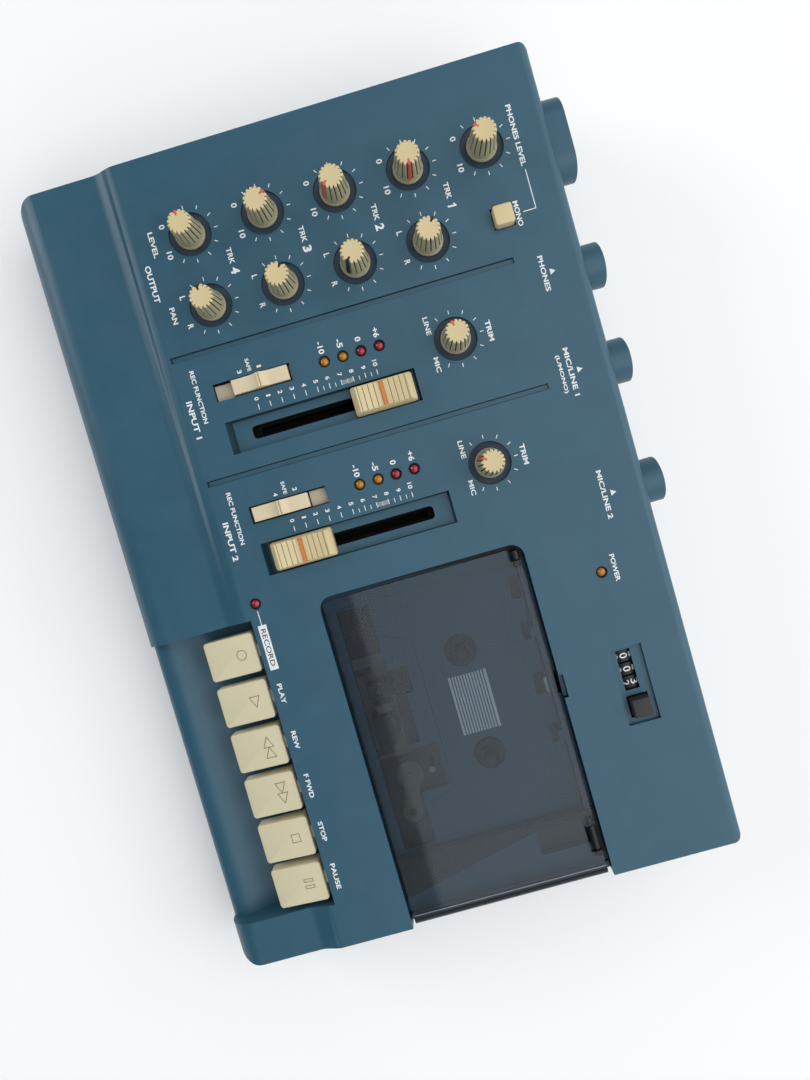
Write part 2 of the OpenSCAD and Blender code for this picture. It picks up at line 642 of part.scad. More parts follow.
// 6.35 mm sockets: sleeve in the boss, body behind the wall
module jack_sockets() color([0.08, 0.08, 0.09]) G() for (u = jack_u) difference() {
  union() {
    translate([u, boss_y - 0.6, jack_z]) rotate([90, 0, 0]) cylinder(h = boss_out + wall + 0.4, r = 6);
    box([u - 7, 172, jack_z - 6.9], [u + 7, back_y - wall - 0.5, jack_z + 6.9]);
  }
  translate([u, boss_y, jack_z]) rotate([90, 0, 0]) cylinder(h = 31, r = jack_r);
}

module rca_sockets() color([0.75, 0.75, 0.78]) G() {
  for (u = rca_u) difference() {
    translate([u, boss_y - 0.4, jack_z]) rotate([90, 0, 0]) cylinder(h = boss_out + wall + 0.6, r = 4.15);
    translate([u, boss_y, jack_z]) rotate([90, 0, 0]) cylinder(h = 9, r = 3.4);
  }
  for (u = rca_u) difference() {
    translate([u, boss_y - 1.2, jack_z]) rotate([90, 0, 0]) cylinder(h = 8.2, r = 2.3);
    translate([u, boss_y, jack_z]) rotate([90, 0, 0]) cylinder(h = 8.6, r = 1.6);
  }
  box([rca_mid - 14, back_y - wall - 10, jack_z - 4], [rca_mid + 14, back_y - wall - 0.5, jack_z + 4]);
}

module dc_inlet() color([0.07, 0.07, 0.07]) G() difference() {
  union() {
    translate([232, back_y - 0.3, 34]) rotate([90, 0, 0]) cylinder(h = wall + 0.5, r = 3.9);
    box([226.5, back_y - 14, 29], [237.5, back_y - wall - 0.3, 39]);
  }
  difference() {
    translate([232, back_y + 1, 34]) rotate([90, 0, 0]) cylinder(h = 11, r = 2.75);
    translate([232, back_y + 2, 34]) rotate([90, 0, 0]) cylinder(h = 14, r = 1);
  }
}

module power_switch_slider() color([0.07, 0.07, 0.07]) G() {
  box([256.5, back_y - wall - 1, 32.3], [262.5, back_y + 1.6, 35.7]);
  box([252, back_y - wall - 2.4, 30], [267, back_y - wall - 1, 38]);
}

top_case();
bottom_case();
rubber_feet();
case_screws();
cassette_lid();
lid_hinge_pins();
cassette_well();
tape_reflector();
cassette_spring();
mech_chassis();
supply_spindle();
takeup_spindle();
capstan_shaft();
flywheel();
pinch_arm();
pinch_roller();
head_bridge();
record_play_head();
erase_head();
motor();
motor_pulley();
drive_belt();
key_shaft();
record_key();
play_key();
rewind_key();
forward_key();
stop_key();
pause_key();
counter_frame();
counter_wheel_ones();
counter_wheel_tens();
counter_wheel_hundreds();
counter_reset_button();
level_knob_1();
level_knob_2();
level_knob_3();
level_knob_4();
pan_knob_1();
pan_knob_2();
pan_knob_3();
pan_knob_4();
phones_knob();
trim_knob_1();
trim_knob_2();
mono_button();
fader_cap_1();
fader_cap_2();
rec_slider_1();
rec_slider_2();
main_board();
potentiometers();
fader_units();
switch_units();
red_leds();
amber_leds();
jack_sockets();
rca_sockets();
dc_inlet();
power_switch_slider();
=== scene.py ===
import bpy, bmesh, math, random
from mathutils import Matrix, Vector


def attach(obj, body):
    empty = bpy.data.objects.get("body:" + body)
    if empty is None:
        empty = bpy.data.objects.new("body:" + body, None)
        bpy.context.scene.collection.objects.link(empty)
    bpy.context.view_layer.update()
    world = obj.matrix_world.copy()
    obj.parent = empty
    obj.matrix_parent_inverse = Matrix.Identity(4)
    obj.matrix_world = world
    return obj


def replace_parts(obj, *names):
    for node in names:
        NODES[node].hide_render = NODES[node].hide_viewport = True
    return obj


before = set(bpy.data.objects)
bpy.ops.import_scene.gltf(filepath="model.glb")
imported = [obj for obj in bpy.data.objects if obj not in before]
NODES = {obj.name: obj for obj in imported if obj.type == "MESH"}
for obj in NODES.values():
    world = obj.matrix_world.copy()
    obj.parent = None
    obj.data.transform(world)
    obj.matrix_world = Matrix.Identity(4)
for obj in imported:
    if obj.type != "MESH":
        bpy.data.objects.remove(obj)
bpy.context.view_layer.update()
rng = random.Random(7)

# ---------------------------------------------------------------- frame
W, MIDY, PZ0, TILT = 308.0, 101.75, 38.23, math.radians(4)
MM = Matrix.Scale(0.001, 4)
PM = MM @ Matrix.Translation((-W / 2, -MIDY, PZ0)) @ Matrix.Rotation(TILT, 4, "X")   # panel mm -> row frame m
GM = MM @ Matrix.Translation((-W / 2, -MIDY, 0))                                    # upright mm -> row frame m
K = 308.0 / 312.0


def lin(r, g, b):
    f = lambda c: (c / 255 / 12.92) if c / 255 <= 0.04045 else ((c / 255 + 0.055) / 1.055) ** 2.4
    return (f(r), f(g), f(b), 1.0)


# ---------------------------------------------------------------- camera
Rcv = ((0.27549, 0.96103, -0.02269), (0.96038, -0.27412, 0.05017), (0.04200, -0.03561, -0.99848))
T3 = Matrix.Rotation(TILT, 3, "X")
right, down, fwd = (T3 @ Vector(r) for r in Rcv)
cam_pos = PM @ Vector((152.17 * K, 117.94 * K, 308.14 * K))
cam_data = bpy.data.cameras.new("view_camera")
cam_data.sensor_fit = "VERTICAL"
cam_data.sensor_height = 36.0
cam_data.sensor_width = 27.0
cam_data.lens = 811.0 / 1080.0 * 36.0
cam_data.clip_start = 0.01
cam_data.clip_end = 20
cam = bpy.data.objects.new("view_camera", cam_data)
bpy.context.scene.collection.objects.link(cam)
m3 = Matrix((right, -down, -fwd)).transposed()
# closest true rotation
xa = m3.col[0].normalized(); za = m3.col[2].normalized()
ya = za.cross(xa).normalized(); xa = ya.cross(za).normalized()
rot = Matrix((xa, ya, za)).transposed()
cam.matrix_world = Matrix.Translation(cam_pos) @ rot.to_4x4()
bpy.context.scene.camera = cam
bpy.context.scene.view_settings.view_transform = "Standard"


# ---------------------------------------------------------------- materials
class Mat:
    def __init__(self, name):
        self.m = bpy.data.materials.new(name)
        self.m.use_nodes = True
        self.t = self.m.node_tree
        self.t.nodes.clear()
        self.out = self.n("ShaderNodeOutputMaterial")
        self.b = self.n("ShaderNodeBsdfPrincipled")
        self.l(self.b.outputs[0], self.out.inputs[0])
        self.co = self.n("ShaderNodeTexCoord").outputs["Object"]

    def n(self, kind, **k):
        x = self.t.nodes.new(kind)
        for a, v in k.items():
            setattr(x, a, v)
        return x

    def l(self, a, b):
        self.t.links.new(a, b)

    def noise(self, scale, detail=3, rough=0.5, vec=None, dist=0.0):
        x = self.n("ShaderNodeTexNoise")
        x.inputs["Scale"].default_value = scale
        x.inputs["Detail"].default_value = detail
        x.inputs["Roughness"].default_value = rough
        x.inputs["Distortion"].default_value = dist
        self.l(vec or self.co, x.inputs["Vector"])
        return x.outputs["Fac"]

    def ramp(self, fac, stops):
        x = self.n("ShaderNodeValToRGB")
        e = x.color_ramp.elements
        e[0].position, e[0].color = stops[0]
        e[1].position, e[1].color = stops[-1]
        for p, c in stops[1:-1]:
            q = e.new(p); q.color = c
        self.l(fac, x.inputs[0])
        return x.outputs[0]

    def grey(self, fac, a, va, b, vb):
        return self.ramp(fac, [(a, (va, va, va, 1)), (b, (vb, vb, vb, 1))])

    def mix(self, fac, a, b, mode="MIX"):
        x = self.n("ShaderNodeMix", data_type="RGBA", blend_type=mode)
        for s, v in ((x.inputs[0], fac), (x.inputs[6], a), (x.inputs[7], b)):
            if hasattr(v, "links") or hasattr(v, "is_output"):
                self.l(v, s)
            else:
                s.default_value = v
        return x.outputs[2]

    def bump(self, h, strength, dist, normal=None):
        x = self.n("ShaderNodeBump")
        x.inputs["Strength"].default_value = strength
        x.inputs["Distance"].default_value = dist
        self.l(h, x.inputs["Height"])
        if normal:
            self.l(normal, x.inputs["Normal"])
        return x.outputs[0]

    def set(self, **k):
        for a, v in k.items():
            s = self.b.inputs[a.replace("_", " ")]
            if hasattr(v, "is_output"):
                self.l(v, s)
            else:
                s.default_value = v
        return self


def plastic(name, col, rough=0.45, grain=1800, grain_s=0.25, var=0.10, wear=0.25, hollow_shade_and_dirt=0.25, spec=0.4, wearcol=None):
    """Moulded plastic: broad tone drift, fine mould texture, faint rubbed edges, and hollows darkened by painted shade
    with some dirt.
    """
    m = Mat(name)
    d = tuple(c * (1 - var) for c in col[:3]) + (1,)
    h = tuple(min(1, c * (1 + var)) for c in col[:3]) + (1,)
    base = m.ramp(m.noise(22, 5, 0.6), [(0.25, d), (0.75, h)])
    speck = m.ramp(m.noise(420, 5, 0.7), [(0.62, (0, 0, 0, 1)), (0.80, (1, 1, 1, 1))])
    base = m.mix(m.mix(0.88, speck, (0, 0, 0, 1)), base, tuple(min(1, c * 1.35 + 0.02) for c in col[:3]) + (1,))
    pt = m.n("ShaderNodeNewGeometry").outputs["Pointiness"]
    worn = m.mix(1.0, m.grey(pt, 0.515, 0, 0.575, 1), m.grey(m.noise(120, 4), 0.35, 0.2, 0.7, 1), "MULTIPLY")
    wc = wearcol or tuple(min(1, c * 1.7 + 0.03) for c in col[:3]) + (1,)
    base = m.mix(m.mix(1 - wear, worn, (0, 0, 0, 1)), base, wc)
    # hollow mask: concave spots darkened, painted shade of the hollows with some dirt
    hollow = m.grey(pt, 0.44, 1, 0.49, 0)
    base = m.mix(m.mix(1 - hollow_shade_and_dirt, hollow, (0, 0, 0, 1)), base, tuple(c * 0.35 for c in col[:3]) + (1,))
    fine = m.noise(grain, 2, 0.5)
    r = m.grey(m.noise(60, 4), 0.3, max(0.05, rough - 0.03), 0.7, rough + 0.04)
    m.set(Base_Color=base, Roughness=r, Normal=m.bump(fine, grain_s, 0.00012))
    m.b.inputs["Specular IOR Level"].default_value = spec
    return m.m


def metal(name, col, rough=0.3, brush=None):
    m = Mat(name)
    mp = m.n("ShaderNodeMapping")
    mp.inputs["Scale"].default_value = brush or (1, 1, 1)
    m.l(m.co, mp.inputs[0])
    f = m.noise(900, 4, 0.6, mp.outputs[0])
    spots = m.noise(90, 4)
    m.set(Base_Color=m.ramp(spots, [(0.35, tuple(c * 0.82 for c in col[:3]) + (1,)), (0.65, col)]),
          Roughness=m.grey(f, 0.3, max(0.08, rough - 0.1), 0.7, rough + 0.12), Metallic=1.0,
          Normal=m.bump(f, 0.15, 0.00005))
    return m.m


def ink(name, col, rough=0.5):
    m = Mat(name)
    f = m.noise(700, 4, 0.6)
    m.set(Base_Color=m.ramp(f, [(0.3, tuple(c * 0.86 for c in col[:3]) + (1,)), (0.6, col)]), Roughness=rough)
    return m.m


BLUE = lin(40, 85, 105)
M = {}
M["case"] = plastic("case_blue", BLUE, rough=0.40, wear=0.10, hollow_shade_and_dirt=0.30, var=0.03, spec=0.5)
# darker blue for the counter recess: painted shade, a shaded copy of the case blue
M["groove"] = plastic("case_hollow_painted_shade", lin(27, 60, 75), rough=0.5, wear=0.05, hollow_shade_and_dirt=0.4, var=0.03)
M["case_dark"] = plastic("case_lower_blue", lin(38, 80, 100), rough=0.42, wear=0.16, var=0.03)
M["well"] = plastic("well_blue", lin(44, 86, 108), rough=0.4, wear=0.10, hollow_shade_and_dirt=0.45, var=0.03)
M["cream"] = plastic("control_cream", lin(216, 198, 152), rough=0.42, var=0.03, wear=0.2, hollow_shade_and_dirt=0.45, wearcol=lin(232, 222, 186), grain_s=0.12)
# darker cream for the knob flanks: painted shade, a shaded copy of the cap cream
M["cream_side"] = plastic("knob_side_cream_painted_shade", lin(172, 166, 136), rough=0.46, var=0.05, wear=0.25, hollow_shade_and_dirt=0.6, wearcol=lin(198, 192, 160), grain_s=0.15)
M["slit"] = plastic("knob_slit_shadow", lin(74, 70, 58), rough=0.6, var=0.05, wear=0, hollow_shade_and_dirt=0.3)
M["key"] = plastic("key_cream", lin(218, 209, 176), rough=0.45, var=0.025, wear=0.2, hollow_shade_and_dirt=0.5, wearcol=lin(224, 217, 190), grain_s=0.3)
# slate blue for the knob recess floors: painted shade of the recesses
M["dish"] = plastic("knob_dish_painted_shade", lin(50, 64, 79), rough=0.5, var=0.08, wear=0.1, hollow_shade_and_dirt=0.6)
# darker blue for groove and recess walls: painted shade, a shaded copy of the case blue
M["recess"] = plastic("case_recess_painted_shade", lin(24, 58, 74), rough=0.5, wear=0.02, hollow_shade_and_dirt=0.3, var=0.03)
# near-black for slots, holes and the gaps round slider caps: painted shade of deep openings
M["void"] = plastic("slot_painted_shade", lin(4, 4, 5), rough=0.75, var=0.1, wear=0, hollow_shade_and_dirt=0, spec=0.15)
M["black"] = plastic("black_moulding", lin(22, 23, 25), rough=0.42, var=0.15, wear=0.2, hollow_shade_and_dirt=0.1)
M["brown"] = plastic("reset_button_brown", lin(44, 41, 42), rough=0.45, var=0.08, wear=0.2, hollow_shade_and_dirt=0.3)
M["slider_cream"] = plastic("slider_cream", lin(222, 205, 172), rough=0.42, var=0.03, wear=0.2, hollow_shade_and_dirt=0.45, wearcol=lin(236, 224, 196), grain_s=0.12)
M["spindle"] = plastic("spindle_dark", lin(20, 19, 19), rough=0.5, var=0.1, wear=0.05, hollow_shade_and_dirt=0.3)
M["dust"] = plastic("slide_plate_grey", lin(206, 194, 172), rough=0.7, grain=900, grain_s=0.5, var=0.16, wear=0.1, hollow_shade_and_dirt=0.5)
M["rubber"] = plastic("rubber_black", lin(24, 24, 24), rough=0.75, grain=1500, grain_s=0.4, var=0.15, wear=0.05)
M["chassis"] = plastic("chassis_brown", lin(62, 50, 38), rough=0.4, var=0.25, wear=0.2, hollow_shade_and_dirt=0.3)
M["brown_metal"] = plastic("mechanism_brown", lin(92, 82, 66), rough=0.35, var=0.2, wear=0.3, hollow_shade_and_dirt=0.3)
M["roller"] = plastic("roller_rubber", lin(96, 88, 78), rough=0.6, var=0.1, wear=0.2, hollow_shade_and_dirt=0.3)
M["steel"] = metal("plated_steel", (0.60, 0.60, 0.57, 1), 0.34)
M["dull_steel"] = metal("dull_steel", (0.30, 0.28, 0.24, 1), 0.42)
M["bright"] = metal("polished_steel", (0.80, 0.80, 0.82, 1), 0.16)
M["brass"] = metal("turned_brass", (0.70, 0.52, 0.24, 1), 0.28)
M["white"] = ink("print_white", lin(238, 242, 242))
M["navy"] = ink("print_navy", lin(22, 44, 62))
M["red"] = ink("pointer_red", lin(216, 96, 74))
M["orange"] = ink("fader_orange", lin(214, 128, 62))
M["pblack"] = ink("pointer_black", lin(28, 28, 28))
# darker cream for the key symbols: painted shade of engraved lines
M["engrave"] = ink("engraved_line_painted_shade", lin(138, 130, 106))
# near-black blue for the strips in groove and recess corners: painted shade
M["hollow_shade_and_dirt"] = ink("corner_painted_shade", lin(18, 36, 46), rough=0.7)
# dark blue for the well floor lines: painted shade of the moulded grooves
M["seam"] = ink("well_line_painted_shade", lin(20, 34, 46))

m = Mat("reflector_foil")
m.set(Base_Color=m.ramp(m.noise(500, 3), [(0.3, (0.86, 0.90, 0.92, 1)), (0.7, (0.97, 0.98, 0.99, 1))]), Roughness=0.4, Metallic=0.1)
M["foil"] = m.m

m = Mat("circuit_board")
m.set(Base_Color=m.ramp(m.noise(160, 2), [(0.4, lin(60, 92, 44)), (0.6, lin(78, 112, 56))]), Roughness=0.4)
M["board"] = m.m


def lens(name, col):
    m = Mat(name)
    # facing ramp: lens colour full where the dome faces the view and darker towards its rim, painted highlight and
    # shade
    lw = m.n("ShaderNodeLayerWeight"); lw.inputs[0].default_value = 0.35
    dark = tuple(c * 0.25 for c in col[:3]) + (1,)
    m.set(Base_Color=m.ramp(lw.outputs["Facing"], [(0.0, col), (0.75, dark)]), Roughness=0.12, Normal=m.bump(m.noise(900, 2), 0.05, 0.00005))
    m.b.inputs["Transmission Weight"].default_value = 0.25
    m.b.inputs["Coat Weight"].default_value = 0.6
    m.b.inputs["Coat Roughness"].default_value = 0.06
    return m.m


M["led_red"] = lens("lens_red", lin(176, 34, 58))
M["led_amber"] = lens("lens_amber", lin(208, 138, 28))


def smoked(name):
    """Smoked acrylic: dark tint that lets about two fifths through, with a clear surface reflection."""
    m = Mat(name)
    tr = m.n("ShaderNodeBsdfTransparent")
    tr.inputs[0].default_value = (0.74, 0.795, 0.84, 1)
    scr = m.noise(60, 6, 0.7, dist=1.2)
    m.set(Base_Color=(0.010, 0.013, 0.017, 1), Roughness=m.grey(scr, 0.35, 0.035, 0.75, 0.10),
          Normal=m.bump(m.noise(18, 1), 0.04, 0.0002))
    m.b.inputs["Specular IOR Level"].default_value = 0.5
    fr = m.n("ShaderNodeFresnel"); fr.inputs[0].default_value = 1.49
    gl = m.n("ShaderNodeBsdfGlossy"); gl.inputs["Color"].default_value = (0.66, 0.71, 0.76, 1)
    m.l(m.grey(scr, 0.35, 0.03, 0.75, 0.09), gl.inputs["Roughness"])
    mx = m.n("ShaderNodeMixShader")
    m.l(fr.outputs[0], mx.inputs[0]); m.l(tr.outputs[0], mx.inputs[1]); m.l(gl.outputs[0], mx.inputs[2])
    mx2 = m.n("ShaderNodeMixShader"); mx2.inputs[0].default_value = 0.05
    m.l(mx.outputs[0], mx2.inputs[1]); m.l(m.b.outputs[0], mx2.inputs[2])
    m.l(mx2.outputs[0], m.out.inputs[0])
    return m.m


M["smoked"] = smoked("smoked_acrylic")
# dark opaque blue for the lid's sloping edges: painted shade
M["smoked_side"] = plastic("smoked_edge_painted_shade", lin(14, 26, 34), rough=0.22, var=0.05, wear=0.05, hollow_shade_and_dirt=0.2, spec=0.5)
# grey for the foil's groove floors and walls: painted shade in the grooves
M["foil_gap"] = ink("foil_groove_painted_shade", lin(60, 66, 70), rough=0.6)

# ---------------------------------------------------------------- mesh helpers
def finish_mesh(name, bm, mats, body="root", matrix=None, angle=32):
    bm.transform(matrix if matrix is not None else PM)
    bmesh.ops.recalc_face_normals(bm, faces=bm.faces)
    me = bpy.data.meshes.new(name)
    bm.to_mesh(me); bm.free()
    for x in mats:
        me.materials.append(x)
    me.polygons.foreach_set("use_smooth", [True] * len(me.polygons))
    me.set_sharp_from_angle(angle=math.radians(angle))
    o = bpy.data.objects.new(name, me)
    bpy.context.scene.collection.objects.link(o)
    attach(o, body)
    return o


def rbox(bm, lo, hi, r=0.5, seg=3, mi=0, vr=None, vseg=5, top_only=False):
    """Box from lo to hi with rounded edges; vr is the radius of its upright corners."""
    g = bmesh.ops.create_cube(bm, size=1.0)
    vs = g["verts"]
    c = (Vector(lo) + Vector(hi)) / 2
    s = Vector(hi) - Vector(lo)
    for v in vs:
        v.co = Vector((v.co.x * s.x, v.co.y * s.y, v.co.z * s.z)) + c
    fs = {f for v in vs for f in v.link_faces}
    if vr:
        es = [e for e in {e for v in vs for e in v.link_edges} if abs(e.verts[0].co.z - e.verts[1].co.z) > 1e-6]
        k = bmesh.ops.bevel(bm, geom=es, offset=vr, segments=vseg, profile=0.5, affect="EDGES")
        fs |= set(k["faces"])
    fs = {f for f in fs if f.is_valid}
    vs = {v for f in fs for v in f.verts}
    if r:
        zt = max(v.co.z for v in vs); zb = min(v.co.z for v in vs)
        if vr:
            es = [e for e in {e for v in vs for e in v.link_edges}
                  if abs(e.verts[0].co.z - e.verts[1].co.z) < 1e-6 and (e.verts[0].co.z > zt - 1e-6 or (not top_only and e.verts[0].co.z < zb + 1e-6))]
        else:
            es = list({e for v in vs for e in v.link_edges})
        k = bmesh.ops.bevel(bm, geom=es, offset=r, segments=seg, profile=0.5, affect="EDGES", clamp_overlap=True)
        fs |= set(k["faces"])
    for f in fs:
        if f.is_valid:
            f.material_index = mi
    return fs


def cyl(bm, p, w0, w1, r, seg=48, mi=0, axis="z", r2=None):
    """Closed cylinder along w, u or v from p."""
    a = []; b = []
    r2 = r if r2 is None else r2
    for i in range(seg):
        t = 2 * math.pi * i / seg
        c, s = math.cos(t), math.sin(t)
        if axis == "z":
            a.append(bm.verts.new((p[0] + r * c, p[1] + r * s, w0))); b.append(bm.verts.new((p[0] + r2 * c, p[1] + r2 * s, w1)))
        elif axis == "x":
            a.append(bm.verts.new((w0, p[0] + r * c, p[1] + r * s))); b.append(bm.verts.new((w1, p[0] + r2 * c, p[1] + r2 * s)))
        else:
            a.append(bm.verts.new((p[0] + r * c, w0, p[1] + r * s))); b.append(bm.verts.new((p[0] + r2 * c, w1, p[1] + r2 * s)))
    fs = [bm.faces.new((a[i], a[(i + 1) % seg], b[(i + 1) % seg], b[i])) for i in range(seg)]
    fs += [bm.faces.new(a[::-1]), bm.faces.new(b)]
    for f in fs:
        f.material_index = mi
    return fs


def lathe(bm, p, prof, seg=64, mi=0, axis="z", closed=False):
    """Turn a list of (r, w) about the upright axis at p."""
    rings = []
    for r, w in prof:
        if r < 1e-6:
            rings.append([bm.verts.new((p[0], p[1], w))])
        else:
            rings.append([bm.verts.new((p[0] + r * math.cos(2 * math.pi * i / seg), p[1] + r * math.sin(2 * math.pi * i / seg), w)) for i in range(seg)])
    prs = list(zip(rings, rings[1:]))
    if closed:
        prs.append((rings[-1], rings[0]))
    for a, b in prs:
        for i in range(seg):
            j = (i + 1) % seg
            if len(a) == 1 and len(b) == 1:
                continue
            if len(a) == 1:
                f = bm.faces.new((a[0], b[j], b[i]))
            elif len(b) == 1:
                f = bm.faces.new((a[i], a[j], b[0]))
            else:
                f = bm.faces.new((a[i], a[j], b[j], b[i]))
            f.material_index = mi
    return rings


def strip(bm, a, b, width, w0=0.0, h=0.03, mi=0):
    """Thin flat bar from a to b on the panel."""
    a = Vector(a); b = Vector(b)
    d = (b - a).normalized(); n = Vector((-d.y, d.x)) * width / 2
    q = [a + n, a - n, b - n, b + n]
    lo = [bm.verts.new((p.x, p.y, w0)) for p in q]
    hi = [bm.verts.new((p.x, p.y, w0 + h)) for p in q]
    fs = [bm.faces.new(hi), bm.faces.new(lo[::-1])]
    for i in range(4):
        j = (i + 1) % 4
        fs.append(bm.faces.new((lo[i], lo[j], hi[j], hi[i])))
    for f in fs:
        f.material_index = mi


def poly(bm, pts, w0=0.0, h=0.03, mi=0):
    lo = [bm.verts.new((p[0], p[1], w0)) for p in pts]
    hi = [bm.verts.new((p[0], p[1], w0 + h)) for p in pts]
    fs = [bm.faces.new(hi), bm.faces.new(lo[::-1])]
    n = len(pts)
    for i in range(n):
        j = (i + 1) % n
        fs.append(bm.faces.new((lo[i], lo[j], hi[j], hi[i])))
    for f in fs:
        f.material_index = mi


def outline(bm, pts, width, w0, h=0.03, mi=0, closed=True):
    n = len(pts)
    for i in range(n if closed else n - 1):
        a = Vector(pts[i]); b = Vector(pts[(i + 1) % n]); d = (b - a).normalized() * width / 2
        strip(bm, a - d, b + d, width, w0, h + 0.002 * (i % 2), mi)


def text(bm, s, u, v, cap, width=None, w0=0.0, h=0.03, mi=0, bold=0.045, mat=None):
    """Generic lettering, centred at (u, v), with capital height cap and, if given, a set width."""
    cu = bpy.data.curves.new("lettering", "FONT")
    cu.body = s
    cu.size = 1.0
    cu.align_x = "CENTER"
    cu.resolution_u = 3
    cu.extrude = 0.5
    cu.offset = bold * 0.6
    o = bpy.data.objects.new("lettering", cu)
    bpy.context.scene.collection.objects.link(o)
    bpy.context.view_layer.update()
    e = o.evaluated_get(bpy.context.evaluated_depsgraph_get())
    me = e.to_mesh()
    xs = [q.co.x for q in me.vertices]; ys = [q.co.y for q in me.vertices]
    x0, x1, y0, y1 = min(xs), max(xs), min(ys), max(ys)
    sy = cap / (y1 - y0)
    sx = (width / (x1 - x0)) if width else sy
    base = len(bm.verts)
    bm.verts.ensure_lookup_table()
    n0 = len(bm.verts)
    vs = []
    for q in me.vertices:
        x = (q.co.x - (x0 + x1) / 2) * sx; y = (q.co.y - (y0 + y1) / 2) * sy
        z = w0 if q.co.z < 0 else w0 + h
        p = Vector((x + u, y + v, z))
        if mat is not None:
            p = mat @ Vector((x, y, z))
        vs.append(bm.verts.new(p))
    for f in me.polygons:
        try:
            g = bm.faces.new([vs[i] for i in f.vertices]); g.material_index = mi
        except ValueError:
            pass
    e.to_mesh_clear()
    bpy.data.objects.remove(o)
    bpy.data.curves.remove(cu)


# ---------------------------------------------------------------- CAD nodes kept, with finish
def dress(node, mat, bevel=0.35, seg=2, ang=35):
    o = NODES[node]
    o.data.materials.clear()
    o.data.materials.append(mat)
    o.data.polygons.foreach_set("material_index", [0] * len(o.data.polygons))
    o.data.polygons.foreach_set("use_smooth", [True] * len(o.data.polygons))
    if bevel:
        w = o.modifiers.new("weld", "WELD"); w.merge_threshold = 2e-6
        d = o.modifiers.new("flat", "DECIMATE"); d.decimate_type = "DISSOLVE"; d.angle_limit = math.radians(0.4)
        b = o.modifiers.new("edge", "BEVEL"); b.width = bevel / 1000; b.segments = seg
        b.limit_method = "ANGLE"; b.angle_limit = math.radians(ang)
        b.harden_normals = False; b.use_clamp_overlap = True
        n = o.modifiers.new("even", "WEIGHTED_NORMAL"); n.mode = "FACE_AREA"; n.weight = 60; n.keep_sharp = True
    return o


def paint(node, mat, test):
    """Give the faces whose middle and facing pass the test, in panel mm, another material."""
    o = NODES[node]
    o.data.materials.append(mat)
    k = len(o.data.materials) - 1
    inv = PM.inverted()
    rot = (inv @ o.matrix_world).to_3x3()
    for f in o.data.polygons:
        if test(inv @ (o.matrix_world @ f.center), (rot @ f.normal).normalized()):
            f.material_index = k


dress("top_case", M["case"], 0.35)
dress("bottom_case", M["case_dark"], 0.5)
# darker blue on the groove walls and fader recess walls: painted shade
paint("top_case", M["recess"], lambda q, n: 35.5 < q.y < 173 and -0.85 < q.z < -0.05 and (abs(n.x) > 0.9 or abs(n.y) > 0.9) and (abs(q.x - 74.8) < 1.15 or abs(q.x - 122.7) < 1.15))
paint("top_case", M["recess"], lambda q, n: 52 < q.y < 126.6 and -2.95 < q.z < -0.02 and abs(n.z) < 0.95 and (abs(q.x - 108.5) < 6.4 or abs(q.x - 155.8) < 6.4))
# near-black on the finger notch, fader slots, rec slider slots and mono button hole: painted shade of the openings
paint("top_case", M["void"], lambda q, n: 227.8 < q.x < 237.2 and 147 < q.y < 149 and -3.6 < q.z < -0.02 and n.z < 0.9)
paint("top_case", M["void"], lambda q, n: 60 < q.y < 120 and -6.5 < q.z < -3.05 and (abs(q.x - 108.5) < 3 or abs(q.x - 155.8) < 3))
paint("top_case", M["void"], lambda q, n: 52 < q.y < 82.5 and -4.5 < q.z < -0.02 and abs(n.z) < 0.9 and (abs(q.x - 90.8) < 3.6 or abs(q.x - 138.4) < 3.6))
paint("top_case", M["void"], lambda q, n: abs(q.x - 58.8) < 4.2 and abs(q.y - 172.8) < 4.2 and -4.5 < q.z < -0.02 and abs(n.z) < 0.9)
# darker blue inside the counter recess: painted shade
paint("top_case", M["groove"], lambda q, n: 224 < q.x < 254.5 and 167.5 < q.y < 180.5 and -5.5 < q.z < -1.7)
dress("rubber_feet", M["rubber"], 0.4)
dress("case_screws", M["steel"], 0.1)
dress("cassette_well", M["well"], 0.25)
dress("cassette_lid", M["smoked"], 0.25)
# lid faces that slope away from the top take the dark edge plastic: painted shade on the lid's edges
paint("cassette_lid", M["smoked_side"], lambda q, n: n.z < 0.45 and abs(n.z) < 0.9)
# black on the well round the lid hinges: painted shade of the hinge notches
paint("cassette_well", M["black"], lambda q, n: q.y > 142.5 and q.z > -8.9 and (178.1 < q.x < 181.7 or 287.4 < q.x < 296.9))
paint("cassette_well", M["chassis"], lambda q, n: 287.3 < q.x < 297.1 and 122.9 < q.y < 142.4 and -12.6 < q.z < -8.3)
# black on the hinge pins: painted shade of the hinge gaps
dress("lid_hinge_pins", M["black"], 0)
for n in ("cassette_spring", "key_shaft", "motor", "potentiometers", "rca_sockets"):
    dress(n, M["dull_steel"], 0)
dress("tape_reflector", M["foil"], 0)
# grey on the foil's groove floors and walls: painted shade
paint("tape_reflector", M["foil_gap"], lambda q, n: n.z > 0.9 and -12.8 < q.z < -12.4 or abs(n.z) < 0.1 and q.z > -12.5)
dress("mech_chassis", M["chassis"], 0)
dress("pinch_arm", M["brown_metal"], 0)
dress("head_bridge", M["brown_metal"], 0.15)
dress("record_play_head", M["black"], 0.2)
dress("erase_head", M["black"], 0.3)
dress("capstan_shaft", M["dull_steel"], 0)
dress("flywheel", M["brass"], 0.3)
dress("motor_pulley", M["brass"], 0.1)
dress("drive_belt", M["rubber"], 0)
dress("pinch_roller", M["roller"], 0.3)
for n in ("supply_spindle", "takeup_spindle"):
    dress(n, M["spindle"], 0.1)
for n in ("counter_frame", "switch_units", "jack_sockets", "dc_inlet", "power_switch_slider"):
    dress(n, M["black"], 0.15)
